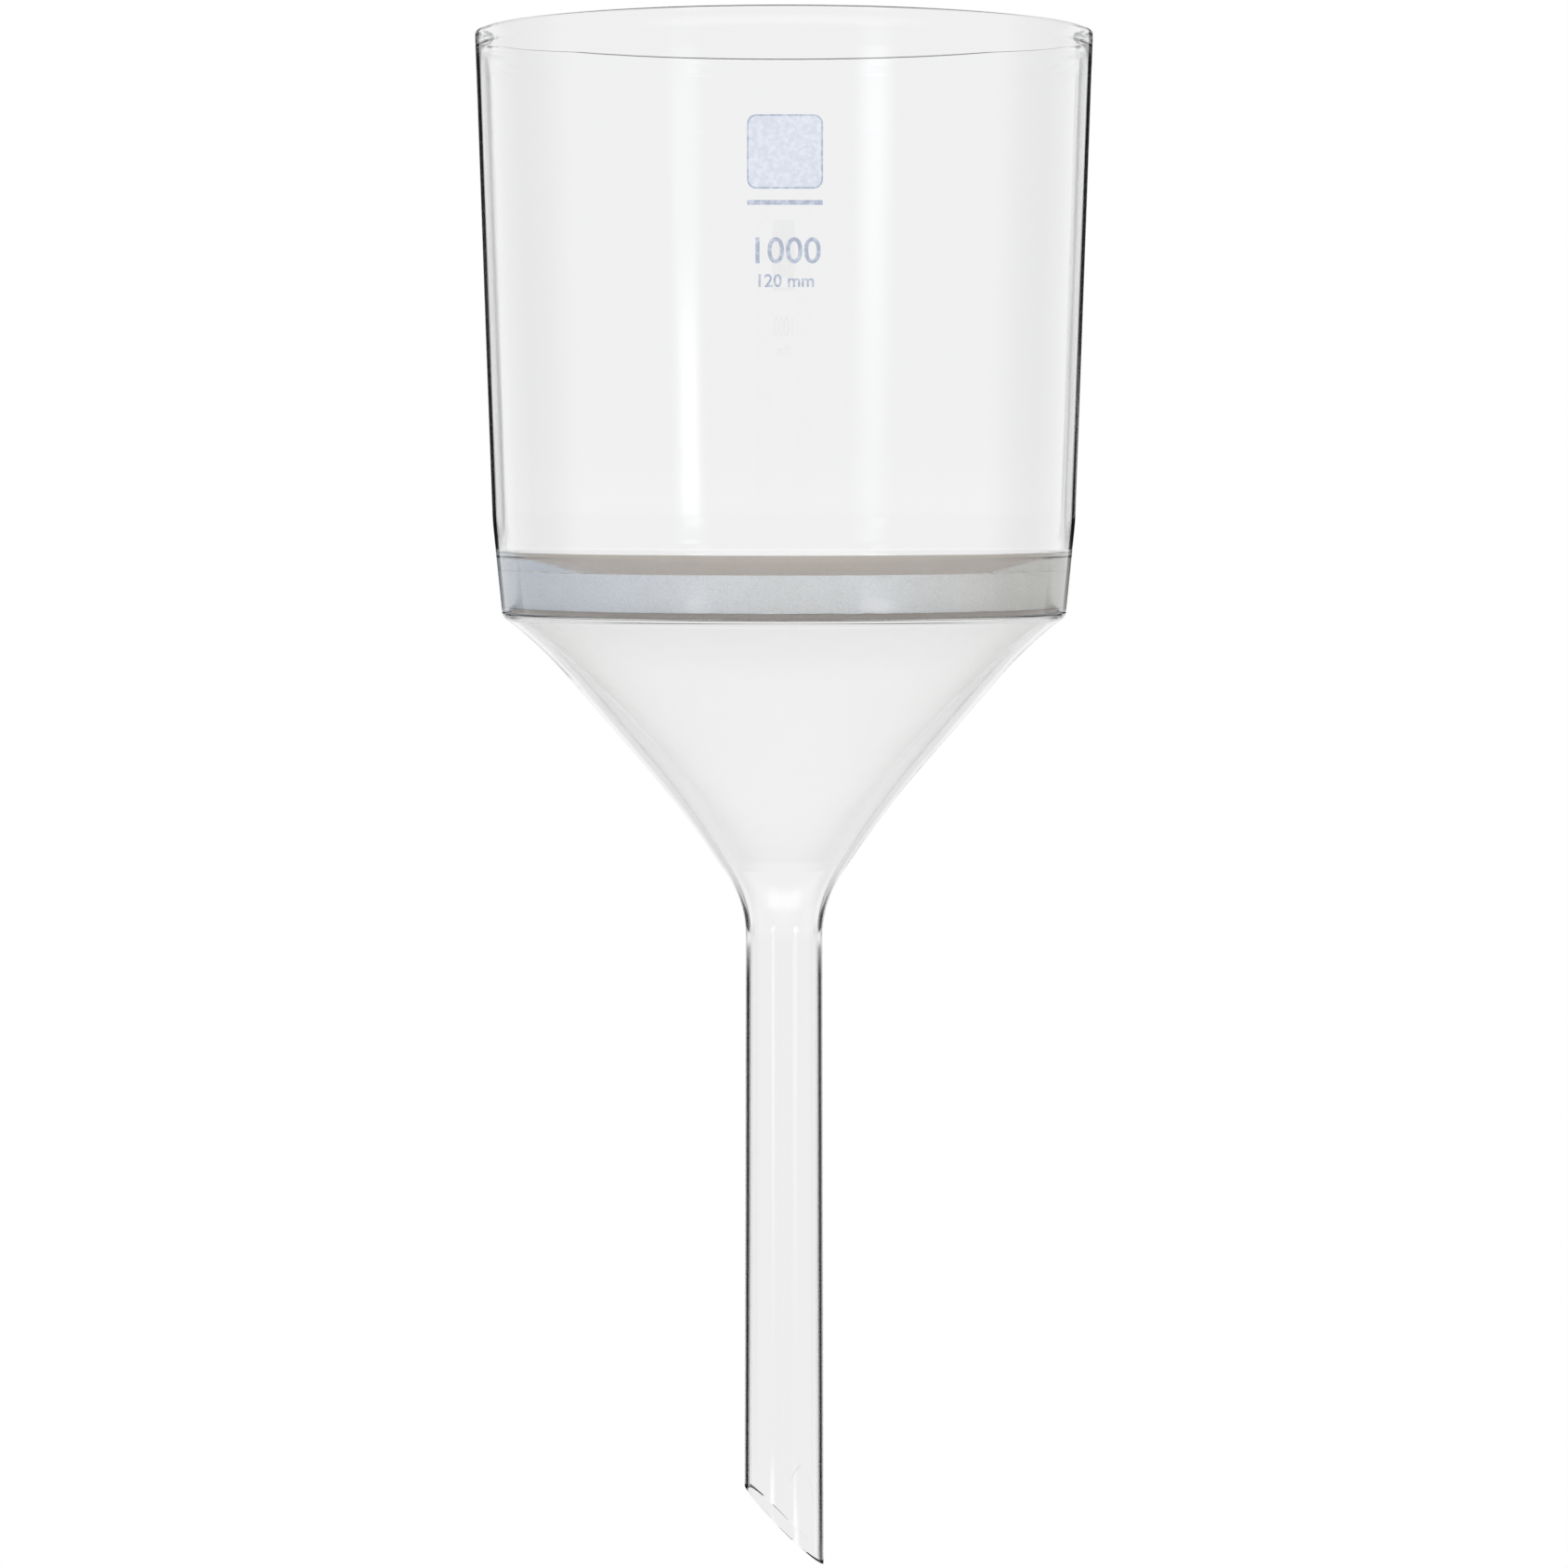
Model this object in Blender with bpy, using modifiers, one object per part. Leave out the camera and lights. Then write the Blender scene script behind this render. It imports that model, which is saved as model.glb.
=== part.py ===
"""Filter funnel of fused laboratory glass.

Four turned pieces share one vertical axis: a tapered bowl, the sintered filter disc that is sealed
across its foot, a cone and a long stem with a bevelled tip.

World frame: metres, +Z up. The origin is on the axis at the neck, where the cone meets the stem, and
the stem's bevel has its long side towards +X.
"""

import math

import bmesh
import bpy
from mathutils import Matrix, Vector

# ---- Driving dimensions, in metres and degrees ----

RIM_Z = 0.1988              # top of the rim
RIM_RADIUS = 0.0677         # outside of the bowl at the rim
RIM_WALL = 0.0016           # fire polishing leaves the rim a little thicker than the wall
RIM_ROUNDING = 0.0005       # rounded corner, inside and outside
RIM_DEPTH = 0.0050          # height over which the rim thins to the wall
BOWL_TAPER = 1.84           # lean of the bowl's wall towards the axis
BOWL_WALL = 0.0011

SEAL_TAPER = 5.6            # lean of the outside where the disc is sealed in
SEAL_BEND_Z = 0.0941        # outside starts to lean more here
SEAL_BEND_RADIUS = 0.060
SEAL_COLLAR_TOP = 0.0865    # inside starts to thicken towards the disc here

DISC_RADIUS = 0.0610
DISC_TOP_Z = 0.0815
DISC_THICKNESS = 0.0082
DISC_CHAMFER = 0.0004

SHOULDER_Z = 0.0729         # seam between the bowl and the cone, under the disc
SHOULDER_RADIUS = 0.0041
CONE_TOP_LEAN = 52.5        # lean of the cone's side just under the shoulder
CONE_UPPER_RADIUS = 0.084   # hollow curve that takes the lean down to the middle one
CONE_MIDDLE_LEAN = 40.9
CONE_STRAIGHT = 0.0259      # length of the straight middle stretch
CONE_LOWER_RADIUS = 0.215   # flatter hollow curve towards the neck
CONE_LOWER_LEAN = 33.2
CONE_TOP_WALL = 0.0015

STEM_TOP_RADIUS = 0.00855
STEM_TIP_RADIUS = 0.00895
STEM_WALL = 0.00085
BEVEL_Z = -0.13225          # where the bevel crosses the axis
BEVEL_ANGLE = 45.0

SEAM_GAP = 0.0003           # left between neighbours, because fused solids can't share a face
TURN_STEPS = 72             # flats round every turned piece

COLLECTION_NAME = "glass_funnel"


# ---- Scene ----

def clear_scene():
    """Remove every object that the file holds."""
    for thing in list(bpy.data.objects):
        bpy.data.objects.remove(thing, do_unlink=True)


def new_collection(name):
    """Add a collection to the scene."""
    collection = bpy.data.collections.new(name)
    bpy.context.scene.collection.children.link(collection)
    return collection


def glass_material(name, color, roughness, alpha):
    """Make a Principled material with the colour, roughness and alpha of one kind of glass."""
    material = bpy.data.materials.new(name)
    material.use_nodes = True
    shader = material.node_tree.nodes["Principled BSDF"]
    shader.inputs["Base Color"].default_value = (*color, 1.0)
    shader.inputs["Roughness"].default_value = roughness
    shader.inputs["Metallic"].default_value = 0.0
    shader.inputs["Alpha"].default_value = alpha
    return material


# ---- Profiles ----
# A profile is walked down its outer side. Each stop is (radius, height, lean), where the lean is the
# angle in degrees between the walk and straight down, positive towards the axis.

def straight(path, length):
    """Walk on in the last stop's direction."""
    radius, height, lean = path[-1]
    angle = math.radians(lean)
    path.append((radius - length * math.sin(angle), height - length * math.cos(angle), lean))


def straight_down_to(path, height):
    """Walk on in the last stop's direction as far as a height."""
    lean = math.radians(path[-1][2])
    straight(path, (path[-1][1] - height) / math.cos(lean))


def bend(path, new_lean, bend_radius, steps):
    """Walk along an arc that ends with a new lean."""
    radius, height, lean = path[-1]
    start = math.radians(lean)
    side = 1.0 if new_lean > lean else -1.0
    for step in range(1, steps + 1):
        here = lean + (new_lean - lean) * step / steps
        angle = math.radians(here)
        across = bend_radius * (math.cos(angle) - math.cos(start))
        down = bend_radius * (math.sin(angle) - math.sin(start))
        path.append((radius + side * across, height - side * down, here))


def inside_of(path, top_wall, bottom_wall):
    """Return the inner side of a wall, from bottom to top, thinning evenly along the stops.

    The two ends are measured level, so that a piece ends in a flat ring. A stop whose inner point
    would stand above the top ring has none.
    """
    last = len(path) - 1
    top_height = path[0][1]
    inner = []
    for index, (radius, height, lean) in enumerate(path):
        wall = top_wall + (bottom_wall - top_wall) * index / last
        angle = math.radians(lean)
        raised = height + wall * math.sin(angle)
        if index in (0, last):
            inner.append((radius - wall / math.cos(angle), height))
        elif raised < top_height:
            inner.append((radius - wall * math.cos(angle), raised))
    inner.reverse()
    return inner


def outside_of(path):
    """Return a walked path as plain (radius, height) points."""
    return [(radius, height) for radius, height, lean in path]


def corner_arc(center, radius, start, end, steps):
    """Return points on an arc about a centre, with angles in degrees from straight outwards."""
    points = []
    for step in range(steps + 1):
        angle = math.radians(start + (end - start) * step / steps)
        points.append((center[0] + radius * math.cos(angle), center[1] + radius * math.sin(angle)))
    return points


def turned_piece(name, profile, closed, material, collection):
    """Turn a profile about Z with a Screw modifier.

    A closed profile makes a ring of glass round a hollow. An open one starts and ends on the axis.
    """
    mesh = bpy.data.meshes.new(name)
    points = [(radius, 0.0, height) for radius, height in profile]
    edges = [(index, index + 1) for index in range(len(points) - 1)]
    if closed:
        edges.append((len(points) - 1, 0))
    mesh.from_pydata(points, edges, [])
    mesh.materials.append(material)

    piece = bpy.data.objects.new(name, mesh)
    collection.objects.link(piece)
    screw = piece.modifiers.new("turn", "SCREW")
    screw.axis = "Z"
    screw.angle = math.tau
    screw.steps = TURN_STEPS
    screw.render_steps = TURN_STEPS
    screw.use_merge_vertices = True
    screw.merge_threshold = 0.00001
    screw.use_smooth_shade = True
    return piece


# ---- The four pieces ----

def bowl_path():
    """Walk the bowl's outside from under the rim's rounding to the shoulder seam."""
    path = [(RIM_RADIUS, RIM_Z - RIM_ROUNDING, BOWL_TAPER)]
    straight_down_to(path, SEAL_BEND_Z)
    bend(path, SEAL_TAPER, SEAL_BEND_RADIUS, 3)
    straight_down_to(path, SHOULDER_Z)
    return path


def swell_curve(low, high, steps):
    """Return an S-shaped stretch of the bowl's inside, upwards from one (radius, height) to another."""
    points = []
    for step in range(steps + 1):
        part = step / steps
        swell = part * part * (3.0 - 2.0 * part)
        points.append((low[0] + (high[0] - low[0]) * swell, low[1] + (high[1] - low[1]) * part))
    return points


def rim_corners():
    """Return the rim's two rounded corners with the level ring between them, from the inside outwards."""
    base = RIM_Z - RIM_ROUNDING
    inner_center = (RIM_RADIUS - RIM_WALL + RIM_ROUNDING, base)
    outer_center = (RIM_RADIUS - RIM_ROUNDING, base)
    inner_corner = corner_arc(inner_center, RIM_ROUNDING, 180.0, 90.0, 3)
    outer_corner = corner_arc(outer_center, RIM_ROUNDING, 90.0, 0.0, 3)
    return inner_corner + outer_corner


def bowl_bore(height):
    """Return the inside radius of the bowl's plain wall at a height."""
    fall = (RIM_Z - height) * math.tan(math.radians(BOWL_TAPER))
    return RIM_RADIUS - BOWL_WALL - fall


def make_bowl(collection):
    """Make the bowl: rounded rim, tapered wall, and a thicker ring round the disc at its foot."""
    outside = outside_of(bowl_path())[1:-1]
    seat_radius = DISC_RADIUS + SEAM_GAP
    foot_height = SHOULDER_Z + SEAM_GAP / 2
    foot = [(bowl_path()[-1][0], foot_height), (seat_radius, foot_height)]

    collar_top = (bowl_bore(SEAL_COLLAR_TOP), SEAL_COLLAR_TOP)
    collar = swell_curve((seat_radius, DISC_TOP_Z), collar_top, 5)
    rim_foot = RIM_Z - RIM_DEPTH
    rim_inside = (RIM_RADIUS - RIM_WALL, RIM_Z - RIM_ROUNDING)
    bead = swell_curve((bowl_bore(rim_foot), rim_foot), rim_inside, 3)[:-1]

    profile = rim_corners() + outside + foot + collar + bead
    material = glass_material("bowl_glass", (0.86, 0.90, 0.90), 0.03, 0.35)
    return turned_piece("bowl", profile, True, material, collection)


def make_filter_disc(collection):
    """Make the sintered disc, a flat plate with a small chamfer round both edges."""
    bottom = DISC_TOP_Z - DISC_THICKNESS
    profile = [
        (0.0, DISC_TOP_Z),
        (DISC_RADIUS - DISC_CHAMFER, DISC_TOP_Z),
        (DISC_RADIUS, DISC_TOP_Z - DISC_CHAMFER),
        (DISC_RADIUS, bottom + DISC_CHAMFER),
        (DISC_RADIUS - DISC_CHAMFER, bottom),
        (0.0, bottom),
    ]
    material = glass_material("sintered_glass", (0.74, 0.74, 0.72), 0.8, 1.0)
    return turned_piece("filter_disc", profile, False, material, collection)


def cone_path():
    """Walk the cone's outside from the shoulder seam to the neck, where it is upright again."""
    start_radius = bowl_path()[-1][0]
    path = [(start_radius, SHOULDER_Z - SEAM_GAP / 2, SEAL_TAPER)]
    bend(path, CONE_TOP_LEAN, SHOULDER_RADIUS, 5)
    bend(path, CONE_MIDDLE_LEAN, CONE_UPPER_RADIUS, 4)
    straight(path, CONE_STRAIGHT)
    bend(path, CONE_LOWER_LEAN, CONE_LOWER_RADIUS, 3)
    return path


def neck_curve(start, end_radius, end_height, steps):
    """Return the stops of the neck, an arc that brings the cone's side upright at the stem.

    The arc's radius follows from the distance that is left to the stem's radius. The heights are
    stretched a little so that the arc ends exactly at the seam.
    """
    lean = math.radians(start[2])
    arc_radius = (start[0] - end_radius) / (1.0 - math.cos(lean))
    arc = [start]
    bend(arc, 0.0, arc_radius, steps)
    stretch = (start[1] - end_height) / (start[1] - arc[-1][1])
    return [(radius, start[1] - (start[1] - height) * stretch, angle) for radius, height, angle in arc[1:]]


def make_cone(collection):
    """Make the cone, whose wall thins from the shoulder to the stem."""
    path = cone_path()
    path += neck_curve(path[-1], STEM_TOP_RADIUS, SEAM_GAP / 2, 8)
    profile = outside_of(path) + inside_of(path, CONE_TOP_WALL, STEM_WALL)
    material = glass_material("cone_glass", (0.86, 0.90, 0.90), 0.03, 0.35)
    return turned_piece("cone", profile, True, material, collection)


def make_bevel_cutter(collection):
    """Make the block that takes the stem's tip off at the bevel."""
    mesh = bpy.data.meshes.new("bevel_cutter")
    shape = bmesh.new()
    bmesh.ops.create_cube(shape, size=1.0)
    shape.to_mesh(mesh)
    shape.free()
    size = 0.06
    tilt = Matrix.Rotation(math.radians(BEVEL_ANGLE), 4, "Y")
    drop = Matrix.Translation(Vector((0.0, 0.0, -size / 2)))
    mesh.transform(Matrix.Translation(Vector((0.0, 0.0, BEVEL_Z))) @ tilt @ drop @ Matrix.Scale(size, 4))
    cutter = bpy.data.objects.new("bevel_cutter", mesh)
    cutter.hide_render = True
    cutter.display_type = "WIRE"
    collection.objects.link(cutter)
    return cutter


def make_stem(collection, cutters):
    """Make the stem, a tube that widens very slightly downwards, and cut its tip at the bevel."""
    tube_end = BEVEL_Z - 2.0 * STEM_TIP_RADIUS
    path = [
        (STEM_TOP_RADIUS, -SEAM_GAP / 2, 0.0),
        (STEM_TIP_RADIUS, tube_end, 0.0),
    ]
    profile = outside_of(path) + inside_of(path, STEM_WALL, STEM_WALL)
    material = glass_material("stem_glass", (0.86, 0.90, 0.90), 0.03, 0.35)
    stem = turned_piece("stem", profile, True, material, collection)
    cut = stem.modifiers.new("bevel", "BOOLEAN")
    cut.operation = "DIFFERENCE"
    cut.object = make_bevel_cutter(cutters)
    return stem


def main():
    """Build the funnel."""
    clear_scene()
    funnel = new_collection(COLLECTION_NAME)
    cutters = new_collection("cutters")
    make_bowl(funnel)
    make_filter_disc(funnel)
    make_cone(funnel)
    make_stem(funnel, cutters)


main()
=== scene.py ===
"""Looks of a sintered-glass filter funnel: clear vessel, porous disc and fired marks.

World frame: metres, +Z up. The origin is on the axis at the neck, where the cone meets the stem.
The stem's bevel has its long side towards +X, and the marks on the bowl face -Y.
"""

import logging
import math
from dataclasses import dataclass, field
from enum import Enum
from typing import Callable

import bmesh
import bpy
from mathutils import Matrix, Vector, noise


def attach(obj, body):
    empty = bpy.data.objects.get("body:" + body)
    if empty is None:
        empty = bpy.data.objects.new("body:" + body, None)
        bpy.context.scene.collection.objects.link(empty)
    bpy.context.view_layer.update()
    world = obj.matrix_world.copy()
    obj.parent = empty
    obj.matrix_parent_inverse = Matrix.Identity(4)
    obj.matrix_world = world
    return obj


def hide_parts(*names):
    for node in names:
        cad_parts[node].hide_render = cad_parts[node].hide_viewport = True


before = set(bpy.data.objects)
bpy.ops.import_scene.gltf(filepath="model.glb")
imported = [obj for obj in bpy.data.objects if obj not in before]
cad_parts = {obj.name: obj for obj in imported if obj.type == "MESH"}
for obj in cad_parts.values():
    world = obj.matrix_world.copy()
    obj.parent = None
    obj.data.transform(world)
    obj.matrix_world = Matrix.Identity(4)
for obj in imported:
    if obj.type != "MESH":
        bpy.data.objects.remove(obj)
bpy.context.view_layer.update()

LOG = logging.getLogger("filter_funnel")
ROOT_BODY = "root"
MM = 0.001
ON_AXIS = 0.001 * MM    # a radius under this is a point on the axis
EDGE_STEPS = 4          # steps round a small rounded edge

Point = tuple[float, float]                      # radius and height, or x and y on a flat drawing
Span = tuple[float, float]                       # the two ends of a range
Stop = tuple[float, float, float]                # radius, height and lean in degrees
Triple = tuple[float, float, float]              # a value for each of x, y and z
Colour = tuple[float, float, float]
Wobble = Callable[[float, float, float], float]  # change in radius at an angle, a height and a radius

GLASS_INDEX = 1.473                              # borosilicate glass
WHITE: Colour = (1.0, 1.0, 1.0)
SOFTBOX_TINT: Colour = (0.96, 0.98, 1.03)        # slightly cool light


class Slot(Enum):
    """Material slots of the record."""

    CLEAR = "clear_glass"
    SINTERED = "sintered_glass"
    ENAMEL = "enamel"


# ---- Node helpers ----

@dataclass
class NodeBench:
    """Adds nodes to one node tree and links them."""

    tree: bpy.types.NodeTree

    def add(self, kind: str, **settings: object) -> bpy.types.Node:
        """Add a node.

        Args:
            kind: Blender's name for the node type.
            settings: Attributes to set on the node.

        Returns:
            The new node.
        """
        node = self.tree.nodes.new(kind)
        for name, value in settings.items():
            setattr(node, name, value)
        return node

    def link(self, source: bpy.types.NodeSocket, target: bpy.types.NodeSocket) -> None:
        """Link an output to an input."""
        self.tree.links.new(source, target)

    def feed(self, value: object, target: bpy.types.NodeSocket) -> None:
        """Link a socket to an input, or set the input to a plain value.

        Args:
            value: The socket or the plain value.
            target: The input.
        """
        if isinstance(value, bpy.types.NodeSocket):
            self.link(value, target)
        else:
            target.default_value = value

    def maths(self, operation: str, *values: object) -> bpy.types.NodeSocket:
        """Add a Math node.

        Args:
            operation: The operation's name.
            values: Sockets or plain numbers for its inputs, in order.

        Returns:
            The node's output.
        """
        node = self.add("ShaderNodeMath", operation=operation)
        for value, target in zip(values, node.inputs):
            self.feed(value, target)
        return node.outputs[0]

    def ramp(self, value: object, low: float, high: float, start: float = 0.0,
             end: float = 1.0) -> bpy.types.NodeSocket:
        """Map a value smoothly from one range to another.

        Args:
            value: The socket to map.
            low: Input value that gives start.
            high: Input value that gives end.
            start: Output at low.
            end: Output at high.

        Returns:
            The mapped value, held at start and end outside the range.
        """
        node = self.add("ShaderNodeMapRange", interpolation_type="SMOOTHSTEP")
        for item, target in zip((value, low, high, start, end), node.inputs):
            self.feed(item, target)
        return node.outputs[0]

    def mix_values(self, factor: object, first: object, second: object) -> bpy.types.NodeSocket:
        """Mix two values.

        Args:
            factor: Share of the second value.
            first: Number or socket at factor 0.
            second: Number or socket at factor 1.

        Returns:
            The mixed value.
        """
        node = self.add("ShaderNodeMix")
        for item, target in ((factor, node.inputs[0]), (first, node.inputs[2]), (second, node.inputs[3])):
            self.feed(item, target)
        return node.outputs[0]

    def blend(self, factor: object, first: object, second: object) -> bpy.types.NodeSocket:
        """Mix two colours.

        Args:
            factor: Share of the second colour.
            first: Colour or socket at factor 0.
            second: Colour or socket at factor 1.

        Returns:
            The mixed colour.
        """
        node = self.add("ShaderNodeMix", data_type="RGBA")
        self.feed(factor, node.inputs["Factor"])
        for item, target in ((first, node.inputs[6]), (second, node.inputs[7])):
            self.feed((*item, 1.0) if isinstance(item, tuple) else item, target)
        return node.outputs[2]

    def grain(self, place: bpy.types.NodeSocket, scale: float, detail: float = 2.0,
              roughness: float = 0.5) -> bpy.types.NodeSocket:
        """Add a noise texture.

        Args:
            place: Coordinates to read it at.
            scale: Cells to the metre.
            detail: Octaves.
            roughness: Strength of each finer octave.

        Returns:
            The noise value, about 0 to 1.
        """
        node = self.add("ShaderNodeTexNoise")
        self.link(place, node.inputs["Vector"])
        node.inputs["Scale"].default_value = scale
        node.inputs["Detail"].default_value = detail
        node.inputs["Roughness"].default_value = roughness
        return node.outputs[0]


def new_material(name: str) -> tuple[bpy.types.Material, NodeBench, bpy.types.Node]:
    """Make a material.

    Args:
        name: The material's name.

    Returns:
        The material, a bench on its node tree and its Principled shader.
    """
    material = bpy.data.materials.new(name)
    material.use_nodes = True
    bench = NodeBench(material.node_tree)
    return material, bench, material.node_tree.nodes["Principled BSDF"]


def object_place(bench: NodeBench, stretch: Triple = (1.0, 1.0, 1.0)) -> bpy.types.NodeSocket:
    """Give object coordinates in metres, stretched along the axes.

    Args:
        bench: Where the nodes go.
        stretch: Factor along x, y and z.

    Returns:
        The stretched coordinates.
    """
    place = bench.add("ShaderNodeTexCoord").outputs["Object"]
    scaled = bench.add("ShaderNodeVectorMath", operation="MULTIPLY")
    bench.link(place, scaled.inputs[0])
    scaled.inputs[1].default_value = stretch
    return scaled.outputs[0]


# ---- Finishes ----

@dataclass(frozen=True)
class ClearGlass:
    """Clear borosilicate glass with the faint waviness of drawn and blown work."""

    name: str
    tint: Colour = (0.80, 0.93, 0.92)
    density: float = 9.0
    waves: Triple = (90.0, 90.0, 9.0)      # waves to the metre; long ones along the drawn wall
    wave_depth: float = 0.03 * MM

    def make(self) -> bpy.types.Material:
        """Build the glass, with its tint by depth and its wavy surface.

        Returns:
            The glass.
        """
        material, bench, shader = new_material(self.name)
        shader.inputs["Base Color"].default_value = (*WHITE, 1.0)
        shader.inputs["Transmission Weight"].default_value = 1.0
        shader.inputs["IOR"].default_value = GLASS_INDEX
        shader.inputs["Roughness"].default_value = 0.0

        bump = bench.add("ShaderNodeBump")
        bench.link(bench.grain(object_place(bench, self.waves), 1.0), bump.inputs["Height"])
        bump.inputs["Distance"].default_value = self.wave_depth
        bump.inputs["Strength"].default_value = 1.0
        bench.link(bump.outputs[0], shader.inputs["Normal"])

        depth = bench.add("ShaderNodeVolumeAbsorption")
        depth.inputs["Color"].default_value = (*self.tint, 1.0)
        depth.inputs["Density"].default_value = self.density
        output = material.node_tree.nodes["Material Output"]
        bench.link(depth.outputs[0], output.inputs["Volume"])
        return material


@dataclass(frozen=True)
class SinteredGlass:
    """Fused glass powder: pale, matt and finely granular, with open pores."""

    name: str = "sintered_glass_grain_painted_light"
    # The three edge colours below are painted light: bluish towards -X, pale in the middle and dull grey
    # towards +X, as the light on either side tints them.
    cool_side_light: Colour = (0.83, 0.885, 0.98)
    pale: Colour = (0.96, 0.98, 1.0)
    dusky_side_light: Colour = (0.83, 0.82, 0.78)
    # Painted shade: the flat top and bottom take this darker, warmer colour.
    flat_face_shade: Colour = (0.55, 0.48, 0.42)
    pore: Colour = (0.62, 0.62, 0.63)
    glint: Colour = (0.95, 0.96, 0.98)
    # Painted light: the bluish and dull grey ends of the edge stand in for tinted light from either side.
    reach: float = 60.0 * MM           # the edge's colour runs from cool here to dusky on the other side
    grains: float = 2600.0             # to the metre
    cells: float = 1300.0              # to the metre
    clouds: float = 90.0               # to the metre
    joint_width: float = 0.12          # as a share of a cell
    cloud_share: float = 0.14
    glint_share: float = 0.40
    joint_share: float = 0.22
    smoothest: float = 0.62
    roughest: float = 0.87
    grain_depth: float = 0.12 * MM
    grain_strength: float = 0.6

    def make(self) -> bpy.types.Material:
        """Build the powder's grains and pores, with painted light on its edge, bluish towards -X and dull
        grey towards +X, and painted shade that darkens and warms its flat faces.

        Returns:
            The finish.
        """
        material, bench, shader = new_material(self.name)
        place = object_place(bench)
        grain = bench.grain(place, self.grains, 3.0, 0.7)
        clouds = bench.grain(place, self.clouds, 3.0, 0.55)

        cells = bench.add("ShaderNodeTexVoronoi", feature="DISTANCE_TO_EDGE")
        bench.link(place, cells.inputs["Vector"])
        cells.inputs["Scale"].default_value = self.cells
        joints = bench.ramp(cells.outputs["Distance"], 0.0, self.joint_width)

        facing = bench.add("ShaderNodeSeparateXYZ")
        bench.link(bench.add("ShaderNodeNewGeometry").outputs["Normal"], facing.inputs[0])
        # Painted shade: faces that point up or down are darkened and warmed.
        shade_on_flat_faces = bench.ramp(bench.maths("ABSOLUTE", facing.outputs[2]), 0.6, 0.95)

        sideways = bench.add("ShaderNodeSeparateXYZ")
        bench.link(place, sideways.inputs[0])
        # Painted light: the edge is tinted bluish towards -X and dull grey towards +X.
        left = bench.ramp(sideways.outputs[0], -self.reach, 0.0)
        right = bench.ramp(sideways.outputs[0], 0.3 * self.reach, 0.9 * self.reach)
        edge = bench.blend(right, bench.blend(left, self.cool_side_light, self.pale), self.dusky_side_light)
        # Painted shade laid over the flat faces.
        body = bench.blend(shade_on_flat_faces, edge, self.flat_face_shade)
        cloudy = bench.blend(bench.ramp(clouds, 0.35, 0.75, 0.0, self.cloud_share), body, self.pore)
        speckled = bench.blend(bench.ramp(grain, 0.45, 0.75, 0.0, self.glint_share), cloudy, self.glint)
        pitted = bench.blend(bench.ramp(joints, 0.0, 1.0, self.joint_share, 0.0), speckled, self.pore)
        bench.link(pitted, shader.inputs["Base Color"])
        shader.inputs["IOR"].default_value = GLASS_INDEX
        bench.link(bench.ramp(grain, 0.3, 0.7, self.smoothest, self.roughest), shader.inputs["Roughness"])

        bump = bench.add("ShaderNodeBump")
        bench.link(bench.maths("ADD", grain, joints), bump.inputs["Height"])
        bump.inputs["Distance"].default_value = self.grain_depth
        bump.inputs["Strength"].default_value = self.grain_strength
        bench.link(bump.outputs[0], shader.inputs["Normal"])
        return material


@dataclass(frozen=True)
class FiredEnamel:
    """Pale blue-grey glass enamel, printed and fired on the bowl, slightly uneven in cover."""

    name: str
    thick: Colour
    thin: Colour
    patches: float = 900.0             # to the metre
    glossiest: float = 0.38
    dullest: float = 0.55
    index: float = 1.5
    patch_depth: float = 0.02 * MM

    def make(self) -> bpy.types.Material:
        """Build the enamel with its patchy cover.

        Returns:
            The enamel.
        """
        material, bench, shader = new_material(self.name)
        place = object_place(bench)
        cover = bench.ramp(bench.grain(place, self.patches, 3.0, 0.6), 0.35, 0.7)
        bench.link(bench.blend(cover, self.thick, self.thin), shader.inputs["Base Color"])
        bench.link(bench.ramp(cover, 0.0, 1.0, self.glossiest, self.dullest), shader.inputs["Roughness"])
        shader.inputs["IOR"].default_value = self.index
        bump = bench.add("ShaderNodeBump")
        bench.link(cover, bump.inputs["Height"])
        bump.inputs["Distance"].default_value = self.patch_depth
        bench.link(bump.outputs[0], shader.inputs["Normal"])
        return material


PANEL_ENAMEL = FiredEnamel("enamel_field", (0.58, 0.62, 0.70), (0.68, 0.71, 0.77))
LINE_ENAMEL = FiredEnamel("enamel_line", (0.34, 0.38, 0.48), (0.52, 0.56, 0.65))


# ---- Profile walking ----

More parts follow.
